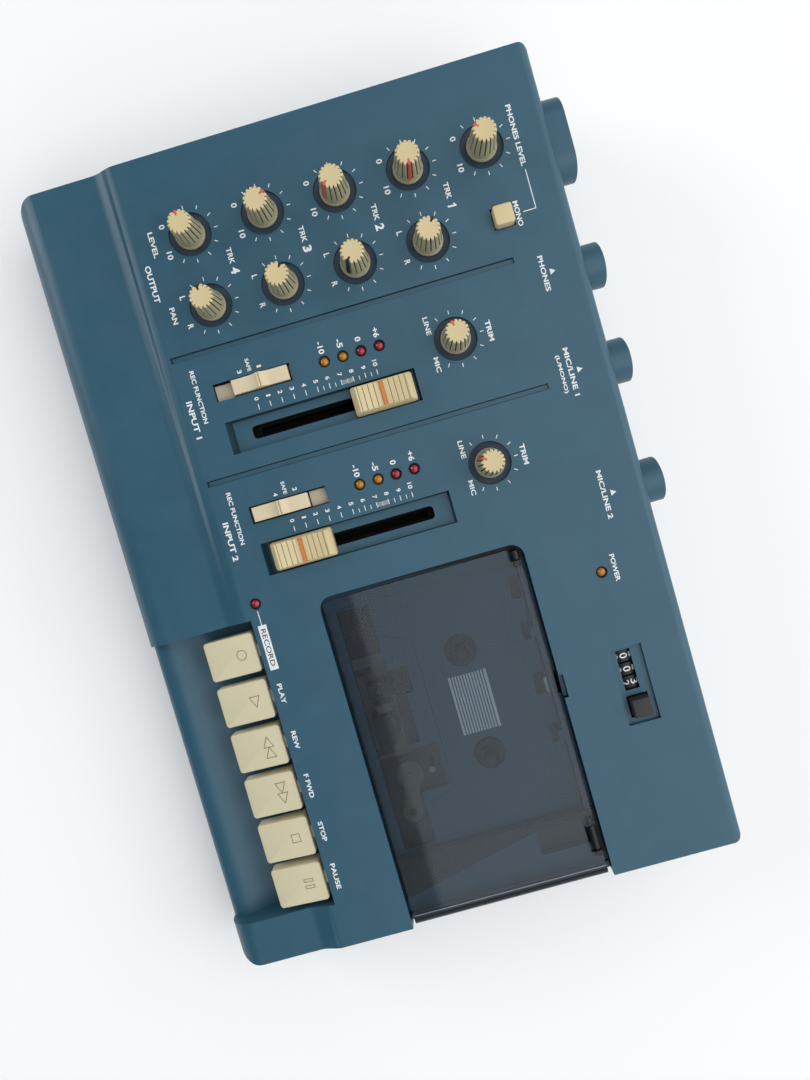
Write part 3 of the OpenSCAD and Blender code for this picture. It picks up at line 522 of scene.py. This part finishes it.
# near-black fader units: painted shade seen through the fader slots
dress("fader_units", M["void"], 0)
dress("main_board", M["board"], 0)
dress("red_leds", M["led_red"], 0)
dress("amber_leds", M["led_amber"], 0)

# ---------------------------------------------------------------- controls
rows = [144.2, 116.2, 88.3, 60.2]
KNOBS = [("level_knob_%d" % (i + 1), (32, rows[i]), a, "red") for i, a in enumerate((-5, -57, 118, 186))]
KNOBS += [("pan_knob_%d" % (i + 1), (59.1, rows[i]), a, "pblack") for i, a in enumerate((142, -40, 143, 186))]
KNOBS += [("phones_knob", (32, 172.3), 230, "red"), ("trim_knob_1", (96.4, 144.2), 194, "red"), ("trim_knob_2", (144, 144), 240, "red")]


def knob(node, p, ang, pm):
    bm = bmesh.new()
    NL = 16
    fr = [0, .06, .12, .2, .34, .5, .66, .8, .88, .94]
    low = [1, .7, 0, 0, 0, 0, 0, 0, 0, .7]
    top = [1, .92, .62, .22, 0, 0, 0, .22, .62, .92]
    # (w, r, slit depth, how much the slit has opened towards the cap)
    prof = [(-0.7, 5.4, 0, 0), (-0.5, 5.6, 0, 0), (0.7, 5.6, 0, 0), (1.0, 5.48, 0, 0), (1.25, 5.28, 0, 0), (2.8, 5.16, 0, 0),
            (3.3, 5.13, .2, 0), (4.2, 5.07, .5, 0), (7.0, 4.87, .7, .15), (10.5, 4.62, .8, .4), (12.9, 4.44, .85, .8), (13.4, 4.38, .85, 1),
            (13.9, 4.28, .68, 1), (14.12, 4.12, .66, 1), (14.2, 3.9, .55, 1), (14.2, 3.45, .16, 1), (14.17, 3.0, 0, 1), (14.12, 2.2, 0, 1)]
    rings = []
    for w, r, dep, op in prof:
        ring = []
        for i in range(NL):
            for k, f in enumerate(fr):
                t = math.radians(ang + (i + 0.5 + f) * 360 / NL)
                d = dep * (low[k] * (1 - op) + top[k] * op)
                ring.append(bm.verts.new(((r - d) * math.cos(t), (r - d) * math.sin(t), w)))
        rings.append(ring)
    n = len(rings[0])
    for q, (a, b) in enumerate(zip(rings, rings[1:])):
        for i in range(n):
            j = (i + 1) % n
            f = bm.faces.new((a[i], a[j], b[j], b[i]))
            lobe, k = divmod(i, len(fr))
            pointer = lobe == NL - 1 and 2 <= k <= 7 and q >= 5
            # flanks take the darker cream (painted shade of the sides), the slits the painted slit shadow
            f.material_index = 2 if pointer else (4 if k in (0, 1, 9) and 6 <= q <= 12 else (1 if q < 11 else 0))
    c = bm.verts.new((0, 0, 14.1))
    for i in range(n):
        f = bm.faces.new((rings[-1][i], rings[-1][(i + 1) % n], c)); f.material_index = 0
    bm.faces.new(rings[0][::-1]).material_index = 1
    cyl(bm, (0, 0), -13.4, -0.7, 3.0, 32, 3)
    bm.transform(Matrix.Translation((p[0], p[1], 0)))
    o = finish_mesh(node + "_cap", bm, [M["cream"], M["cream_side"], M[pm], M["steel"], M["slit"]], body=node, angle=28)
    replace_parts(o, node)


for k in KNOBS:
    knob(*k)

# dark discs on the floors of the knob recesses: painted shade of the recesses
bm = bmesh.new()
for _, p, _, _ in KNOBS:
    lathe(bm, p, [(3.7, -1.49), (8.06, -1.49), (8.06, -0.95), (7.95, -1.2), (7.6, -1.36), (3.7, -1.38)], 64, closed=True)
finish_mesh("knob_dishes", bm, [M["dish"]])


def fader(node, u, v):
    bm = bmesh.new()
    L, Wd = 11.8, 5.3
    # skirt
    def ringpts(l, w_, z, rc=1.0):
        pts = []
        for cx, cy, a0 in ((w_ - rc, l - rc, 0), (-w_ + rc, l - rc, 90), (-w_ + rc, -l + rc, 180), (w_ - rc, -l + rc, 270)):
            for s in range(5):
                t = math.radians(a0 + 90 * s / 4)
                pts.append(bm.verts.new((cx + rc * math.cos(t), cy + rc * math.sin(t), z)))
        return pts
    rs = [ringpts(L, Wd, -2.4), ringpts(L, Wd, 1.2), ringpts(L - 0.25, Wd - 0.12, 1.7), ringpts(9.95, 4.75, 4.0, 0.5), ringpts(9.75, 4.6, 4.15, 0.4), ringpts(9.6, 4.45, 3.2, 0.3)]
    for a, b in zip(rs, rs[1:]):
        for i in range(len(a)):
            j = (i + 1) % len(a)
            bm.faces.new((a[i], a[j], b[j], b[i]))
    # the floor between the grip plates takes the painted slit shadow
    bm.faces.new(rs[0][::-1]); bm.faces.new(rs[-1]).material_index = 3
    # stepped grip plates and the raised centre line
    def slat(v0, v1, z0, z1, mi=0):
        pr = [(v0, 2.6), (v0, z0 - .08), (v0 + .08 * (1 if v1 > v0 else -1), z0), (v1 - .08 * (1 if v1 > v0 else -1), z1), (v1, z1 - .08), (v1, 2.6)]
        a = [bm.verts.new((-4.62, y, z)) for y, z in pr]; b = [bm.verts.new((4.62, y, z)) for y, z in pr]
        fs = [bm.faces.new(a), bm.faces.new(b[::-1])] + [bm.faces.new((a[i], b[i], b[(i + 1) % 6], a[(i + 1) % 6])) for i in range(6)]
        for f in fs:
            f.material_index = mi
    for s in (-1, 1):
        edges = [0.75, 2.7, 4.8, 6.9, 8.9, 9.8]
        hs = [3.75, 3.95, 4.2, 4.5, 4.8]
        for k in range(5):
            slat(s * (edges[k] + (0.2 if k else 0)), s * edges[k + 1], hs[k] - (0.0 if k == 0 else 0.12), hs[k] + 0.18)
    slat(-0.66, 0.66, 4.35, 4.35, 1)
    bmesh.ops.create_cube(bm, size=1.0, matrix=Matrix.Translation((0, 0, -7.2)) @ Matrix.Diagonal((1.2, 4, 9.6, 1)))
    # near-black frame round the cap foot: painted shade of the gap in the recess
    rbox(bm, (-5.75, -12.1, -2.4), (5.75, 12.1, -1.3), r=0.2, seg=2, mi=2, vr=1.2)
    bm.transform(Matrix.Translation((u, v, 0)))
    o = finish_mesh(node + "_grip", bm, [M["cream"], M["orange"], M["void"], M["slit"]], body=node, angle=25)
    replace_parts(o, node)


fader("fader_cap_1", 108.5, 113)
fader("fader_cap_2", 155.8, 68)


def recslider(node, u, v):
    bm = bmesh.new()
    pr = []
    N = 9
    pr += [(-10.85, -2.9), (-10.85, 1.0), (-10.75, 1.25), (-10.5, 1.4)]
    for i in range(N):          # hollow slope up to the ridge
        t = i / (N - 1)
        pr.append((-4.6 + 3.9 * t, 1.4 + 2.0 * t ** 2.6))
    pr += [(-0.35, 3.46), (-0.16, 3.4), (-0.12, 2.6), (0.12, 2.6), (0.16, 3.4), (0.35, 3.46)]
    for i in range(N):
        t = 1 - i / (N - 1)
        pr.append((4.6 - 3.9 * t, 1.4 + 2.0 * t ** 2.6))
    pr += [(10.5, 1.4), (10.75, 1.25), (10.85, 1.0), (10.85, -2.9)]
    a = [bm.verts.new((-2.75, y, z)) for y, z in pr]; b = [bm.verts.new((2.75, y, z)) for y, z in pr]
    n = len(pr)
    bm.faces.new(a); bm.faces.new(b[::-1])
    for i in range(n):
        bm.faces.new((a[i], b[i], b[(i + 1) % n], a[(i + 1) % n]))
    rbox(bm, (-2.9, -18.6, -4), (2.9, 18.6, -2.9), r=0, mi=1)
    rbox(bm, (-0.7, -1.5, -11.5), (0.7, 1.5, -4), r=0, mi=1)
    # near-black block just wider than the cap, under it: painted shade round the cap
    rbox(bm, (-3.0, -11.2, -2.9), (3.0, 11.2, -1.6), r=0, mi=2)
    bm.transform(Matrix.Translation((u, v, 0)))
    o = finish_mesh(node + "_grip", bm, [M["slider_cream"], M["dust"], M["void"]], body=node, angle=30)
    b = o.modifiers.new("edge", "BEVEL"); b.width = 0.00016; b.segments = 2; b.limit_method = "ANGLE"; b.angle_limit = math.radians(50); b.harden_normals = True
    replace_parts(o, node)


recslider("rec_slider_1", 90.8, 70.2)
recslider("rec_slider_2", 138.4, 64.2)

# push buttons
bm = bmesh.new()
rbox(bm, (55.2, 169.2, -2.9), (62.4, 176.4, 4.3), r=0.55, seg=4, vr=1.0, top_only=True)
rbox(bm, (54.0, 168.0, -4.2), (63.6, 177.6, -2.9), r=0)
cyl(bm, (58.8, 172.8), -10, -4.2, 1.5, 24)
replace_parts(finish_mesh("mono_button_cap", bm, [M["cream"]], body="mono_button"), "mono_button")
bm = bmesh.new()
rbox(bm, (243.9, 170.3, -4), (251, 177.3, 3.4), r=0.35, seg=3, vr=0.5, top_only=True)
rbox(bm, (243.9, 168.6, -5.4), (251, 179, -4), r=0)
cyl(bm, (247.45, 173.8), -17, -5.4, 1.5, 24)
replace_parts(finish_mesh("counter_reset_cap", bm, [M["brown"]], body="counter_reset_button"), "counter_reset_button")

# transport keys
KEYS = ["record_key", "play_key", "rewind_key", "forward_key", "stop_key", "pause_key"]


def key_top(v):
    return -1.0 - (39.4 - v) * 0.118


def key(i):
    node = KEYS[i]
    c = 188.4 + 18.5 * i
    bm = bmesh.new()
    fs = rbox(bm, (c - 7.7, 19.2, -9.4), (c + 7.7, 39.4, 0), r=0.55, seg=4, vr=1.25, vseg=6, top_only=True)
    for v in {v for f in bm.faces for v in f.verts}:
        if v.co.z > -3:
            v.co.z += key_top(v.co.y) + (0 if v.co.y > 21.5 else -(21.5 - v.co.y) ** 2 * 0.10)
    rbox(bm, (c - 2.5, 36, -9.4), (c + 2.5, 44, -4.2), r=0.2)
    pts = [(42, -4.4), (58, -5.2), (58, -12.6), (42, -9.4)]
    a = [bm.verts.new((c - 2.5, y, z)) for y, z in pts]; b = [bm.verts.new((c + 2.5, y, z)) for y, z in pts]
    bm.faces.new(a); bm.faces.new(b[::-1])
    for k in range(4):
        bm.faces.new((a[k], b[k], b[(k + 1) % 4], a[(k + 1) % 4]))
    # hub, open for the shaft
    seg = 32
    R = [[], [], [], []]
    for s in range(seg):
        t = 2 * math.pi * s / seg
        for q, (x, r) in enumerate(((c - 2.5, 4), (c + 2.5, 4), (c + 2.5, 1.55), (c - 2.5, 1.55))):
            R[q].append(bm.verts.new((x, 60 + r * math.cos(t), -9 + r * math.sin(t))))
    for q in range(4):
        for s in range(seg):
            bm.faces.new((R[q][s], R[q][(s + 1) % seg], R[(q + 1) % 4][(s + 1) % seg], R[(q + 1) % 4][s]))
    # engraved symbol, drawn as thin strips in a darker cream: painted shade of the cut lines
    tilt = lambda pts: pts
    sv = 33.3
    B = bmesh.new()
    if i == 0:
        outline(B, [(c + 1.9 * math.cos(math.radians(t)), sv + 1.9 * math.sin(math.radians(t))) for t in range(0, 360, 15)], 0.28, 0, 0.02)
    elif i == 1:
        outline(B, [(c - 1.9, sv + 2.0), (c + 2.4, sv), (c - 1.9, sv - 2.0)], 0.28, 0, 0.02)
    elif i == 2:
        for d in (-4.1, 0):
            outline(B, [(c + 4.1 + d, sv + 2.0), (c + d, sv), (c + 4.1 + d, sv - 2.0)], 0.28, 0, 0.02)
    elif i == 3:
        for d in (0, 4.1):
            outline(B, [(c - 4.1 + d, sv + 2.0), (c + d, sv), (c - 4.1 + d, sv - 2.0)], 0.28, 0, 0.02)
    elif i == 4:
        outline(B, [(c - 1.6, sv - 1.6), (c + 1.6, sv - 1.6), (c + 1.6, sv + 1.6), (c - 1.6, sv + 1.6)], 0.28, 0, 0.02)
    else:
        for d in (-1.3, 1.3):
            outline(B, [(c + d - .55, sv - 1.8), (c + d + .55, sv - 1.8), (c + d + .55, sv + 1.8), (c + d - .55, sv + 1.8)], 0.26, 0, 0.02)
    for v in B.verts:
        v.co.z += key_top(v.co.y) + 0.005
    o = finish_mesh(node + "_cap", bm, [M["key"]], body=node, angle=30)
    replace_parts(o, node)
    finish_mesh(node + "_symbol", B, [M["engrave"]], body=node)


for i in range(6):
    key(i)

# ---------------------------------------------------------------- counter digits, LED collars
for n, u, start in (("hundreds", 228.0, 0), ("tens", 233.2, 0), ("ones", 238.4, -2.55)):
    bm = bmesh.new()
    for d in range(10):
        ang = math.radians((d + start) * -36.0)
        mt = Matrix.Translation((u, 172.95, -8)) @ Matrix.Rotation(-ang * -1, 4, "X") @ Matrix.Translation((0, 0, 5.5))
        text(bm, str(d), 0, 0, 2.9, 2.0, 0.0, 0.03, 0, bold=0.01, mat=mt)
    finish_mesh("counter_digits_" + n, bm, [M["white"]], body="counter_wheel_" + n)
    dress("counter_wheel_" + n, M["black"], 0.2)

LEDS = [(90.8, 116.3), (90.8, 109.2), (138.3, 116.3), (138.3, 109.2), (170.8, 44.4), (90.8, 102.2), (90.8, 95), (138.3, 102.2), (138.3, 95), (194.8, 173.1)]
bm = bmesh.new()
for p in LEDS:
    lathe(bm, p, [(1.56, -3), (2.17, -3), (2.17, -0.25), (2.05, -0.12), (1.8, -0.3), (1.56, -0.75)], 40, closed=True)
finish_mesh("led_collars", bm, [M["black"]])

# ---------------------------------------------------------------- printing on the panel
bm = bmesh.new()
H = 0.02


def T(s, x, y, cap, width, **k):
    text(bm, s, x * K, y * K, cap, width * K if width else None, 0, H, **k)


def S(a, b, wd=0.32):
    strip(bm, (a[0] * K, a[1] * K), (b[0] * K, b[1] * K), wd, 0, H)


def tri(x, y, s=1.15):
    poly(bm, [((x - s) * K, (y - s * .8) * K), ((x + s) * K, (y - s * .8) * K), (x * K, (y + s) * K)], 0, H)


T("PHONES LEVEL", 32.2, 187.7, 1.95, 23.0)
S((45.0, 187.8), (59.7, 187.8)); S((59.7, 187.96), (59.7, 182.9))
T("MONO", 59.8, 180.9, 1.95, 9.4)
T("PHONES", 83.7, 184.3, 1.95, 13.4); tri(83.7, 187.5)
for n, y in ((1, 158), (2, 130), (3, 101.7), (4, 73.3)):
    T("TRK", 44.3, y, 1.95, 6.2)
    if n == 1:
        poly(bm, [((50.0 + a) * K, (y + b) * K) for a, b in ((-0.25, -1.5), (0.4, -1.5), (0.62, 1.85), (0.1, 1.85), (-0.75, 1.1), (-0.7, 0.65), (-0.1, 1.0))], 0, H)
    else:
        T(str(n), 50.0, y + .2, 3.3, 2.4, bold=0.07)
T("LEVEL", 32.4, 46.4, 1.95, 9.8); T("PAN", 59.8, 46.3, 1.95, 6.4); T("OUTPUT", 46.3, 41.9, 2.25, 14.2, bold=0.045)
for x, y, n in ((91.6, 46.6, 1), (139.6, 46.9, 2)):
    T("REC FUNCTION", x, y, 1.75, 20.5)
T("INPUT 1", 99.4, 42.4, 2.25, 14.6, bold=0.045); T("INPUT 2", 147.6, 42.6, 2.25, 15.2, bold=0.045)
for dx in (0, 48.0):
    T("TRIM", 98.2 + dx, 159.1, 1.95, 7.9); T("LINE", 90.2 + dx, 137.0, 1.85, 6.8); T("MIC", 105.1 + dx, 136.9, 1.85, 5.8)
T("MIC/LINE 1", 121.5, 184.3, 1.95, 18.4); T("(L/MONO)", 121.5, 180.6, 1.85, 14.6); tri(121.4, 187.6)
T("MIC/LINE 2", 169.3, 184.1, 1.95, 18.8); tri(169.3, 187.5)
T("POWER", 197.0, 180.6, 1.85, 10.6)
for s, x, wd in (("PLAY", 209.1, 8.0), ("REW", 227.9, 7.2), ("F FWD", 246.6, 9.6), ("STOP", 265.3, 8.0), ("PAUSE", 283.7, 10.4)):
    T(s, x, 44.9, 1.85, wd)
S((175.9, 44.95), (181.6, 44.95), 0.3)
strip(bm, (181.6 * K, 45.0 * K), (199.4 * K, 45.0 * K), 3.3, 0, H)
# dial ticks and end figures
for name, p, a, pm in KNOBS:
    for t in range(-30, 211, 30):
        c, s_ = math.cos(math.radians(t)), math.sin(math.radians(t))
        strip(bm, (p[0] + 9.35 * c, p[1] + 9.35 * s_), (p[0] + 10.75 * c, p[1] + 10.75 * s_), 0.3, 0, H)
    if name.startswith("trim"):
        continue
    lab = ("L", "R") if name.startswith("pan") else ("0", "10")
    for s, t, r in ((lab[0], 240, 10.9), (lab[1], -60, 10.9)):
        text(bm, s, p[0] + r * math.cos(math.radians(t)), p[1] + r * math.sin(math.radians(t)), 2.2, {"0": 1.7, "10": 3.0, "L": 1.4, "R": 1.7}[s], 0, H)
# fader scales
for dx in (0, 48.0):
    for i in range(11):
        y = 67.6 + 4.68 * i
        S((100.3 + dx, y), (102.3 + dx, y), 0.28)
        T(str(i), 98.2 + dx - (0.4 if i == 10 else 0), y, 1.7, 2.4 if i == 10 else (0.7 if i == 1 else 1.25), bold=0.04)
        if 5 <= i < 10:
            S((100.7 + dx, y + 2.34), (102.3 + dx, y + 2.34), 0.24)
        if i == 7:
            for k in (1, 2, 3, 4, 6, 7, 8, 9):
                S((100.6 + dx, y + .468 * k), (102.3 + dx, y + .468 * k), 0.13)
# LED scale
for u in (90.8, 138.3):
    for s, v, wd in (("+6", 116.3, 3.7), ("0", 109.2, 1.7), ("-5", 102.2, 3.3), ("-10", 95.0, 4.7)):
        text(bm, s, u - 4.9 - (wd - 3.3) * 0.25, v, 2.2, wd, 0, H)
# record-function legends
for u, a, b in ((90.8, "1", "3"), (138.4, "2", "4")):
    text(bm, a, u - 5.2, 71.0, 1.7, 0.8 if a == "1" else 1.3, 0, H, bold=0.04)
    text(bm, "SAFE", u - 6.8, 67.2, 1.45, 4.8, 0, H, bold=0.04)
    text(bm, b, u - 5.2, 63.4, 1.7, 1.3, 0, H, bold=0.04)
finish_mesh("panel_print", bm, [M["white"]])
bm = bmesh.new()
text(bm, "RECORD", 190.5 * K, 45.0 * K, 1.9, 14.6, H, 0.02, 0, bold=0.01)
finish_mesh("record_legend", bm, [M["navy"]])

# dark strips in the corners of the grooves and recesses: painted shade
bm = bmesh.new()
for u in (74.8, 122.7):
    strip(bm, (u - 0.92, 39.9), (u - 0.92, 172.3), 0.34, -0.8, 0.03)
    strip(bm, (u + 0.98, 39.9), (u + 0.98, 172.3), 0.22, -0.8, 0.03)
    strip(bm, (u - 1.0, 40.0), (u + 1.0, 40.0), 0.5, -0.8, 0.035)
for u in (108.5, 155.8):
    for x, wd in ((u - 5.95, 0.5), (u + 6.05, 0.3)):
        strip(bm, (x, 54.2), (x, 125.4), wd, -3, 0.03)
    strip(bm, (u - 6.1, 54.35), (u + 6.1, 54.35), 0.8, -3, 0.035)
finish_mesh("recess_painted_shade", bm, [M["hollow_shade_and_dirt"]])

# moulded lines on the well floor, drawn as dark strips: painted shade of the grooves
bm = bmesh.new()
c = 232.5
outline(bm, [(c - 35.4, 84.6), (c - 30.7, 96.9), (c + 30.7, 96.9), (c + 35.4, 84.6)], 0.34, -13, 0.03, closed=False)
finish_mesh("well_lines", bm, [M["seam"]])

# ---------------------------------------------------------------- floor and light
def sheet(name, pts, mat):
    bm = bmesh.new()
    bm.faces.new([bm.verts.new(p) for p in pts])
    me = bpy.data.meshes.new(name)
    bm.to_mesh(me); bm.free()
    me.materials.append(mat)
    o = bpy.data.objects.new(name, me)
    bpy.context.scene.collection.objects.link(o)
    return o


fm = Mat("floor_pale"); fm.set(Base_Color=(0.97, 0.97, 0.97, 1), Roughness=0.95, Emission_Color=(1, 1, 1, 1), Emission_Strength=0.06)
sheet("floor", [(-3, -3, 0), (3, -3, 0), (3, 3, 0), (-3, 3, 0)], fm.m)

world = bpy.data.worlds.new("studio"); bpy.context.scene.world = world
world.use_nodes = True
wt = world.node_tree
bgn = wt.nodes["Background"]
tc = wt.nodes.new("ShaderNodeTexCoord"); sp = wt.nodes.new("ShaderNodeSeparateXYZ"); wr = wt.nodes.new("ShaderNodeValToRGB")
wt.links.new(tc.outputs["Generated"], sp.inputs[0])
my = wt.nodes.new("ShaderNodeMath"); my.operation = "MULTIPLY_ADD"; my.inputs[1].default_value = 0.50; my.inputs[2].default_value = 0.5
mx = wt.nodes.new("ShaderNodeMath"); mx.operation = "MULTIPLY_ADD"; mx.inputs[1].default_value = 0.18
wt.links.new(sp.outputs["Y"], my.inputs[0]); wt.links.new(sp.outputs["X"], mx.inputs[0]); wt.links.new(my.outputs[0], mx.inputs[2]); wt.links.new(mx.outputs[0], wr.inputs[0])
e = wr.color_ramp.elements
e[0].position, e[0].color = 0.16, (0.10, 0.12, 0.15, 1)
e[1].position, e[1].color = 0.92, (1.05, 1.05, 1.04, 1)
q = e.new(0.36); q.color = (0.26, 0.28, 0.31, 1)
q = e.new(0.5); q.color = (0.62, 0.64, 0.66, 1)
wt.links.new(wr.outputs[0], bgn.inputs[0])
bgn.inputs[1].default_value = 1.0


def area(name, loc, target, size, power, col=(1, 1, 1), size_y=None):
    d = bpy.data.lights.new(name, "AREA")
    d.energy = power; d.color = col; d.size = size
    if size_y:
        d.shape = "RECTANGLE"; d.size_y = size_y
    o = bpy.data.objects.new(name, d)
    bpy.context.scene.collection.objects.link(o)
    o.location = loc
    o.rotation_euler = (Vector(target) - Vector(loc)).to_track_quat("-Z", "Y").to_euler()
    return o


area("top_card", (0.25, 0.75, 1.5), (0.25, 0.75, 0), 2.1, 11.5, (1, 0.995, 0.98))
area("key_light", (-0.95, -1.45, 0.66), (0, 0, 0.03), 0.9, 10.0, (0.98, 0.99, 1.0))
area("back_strip", (0.1, 1.2, 0.7), (0, 0, 0.03), 1.0, 2.0, (1.0, 0.99, 0.97), 0.3)
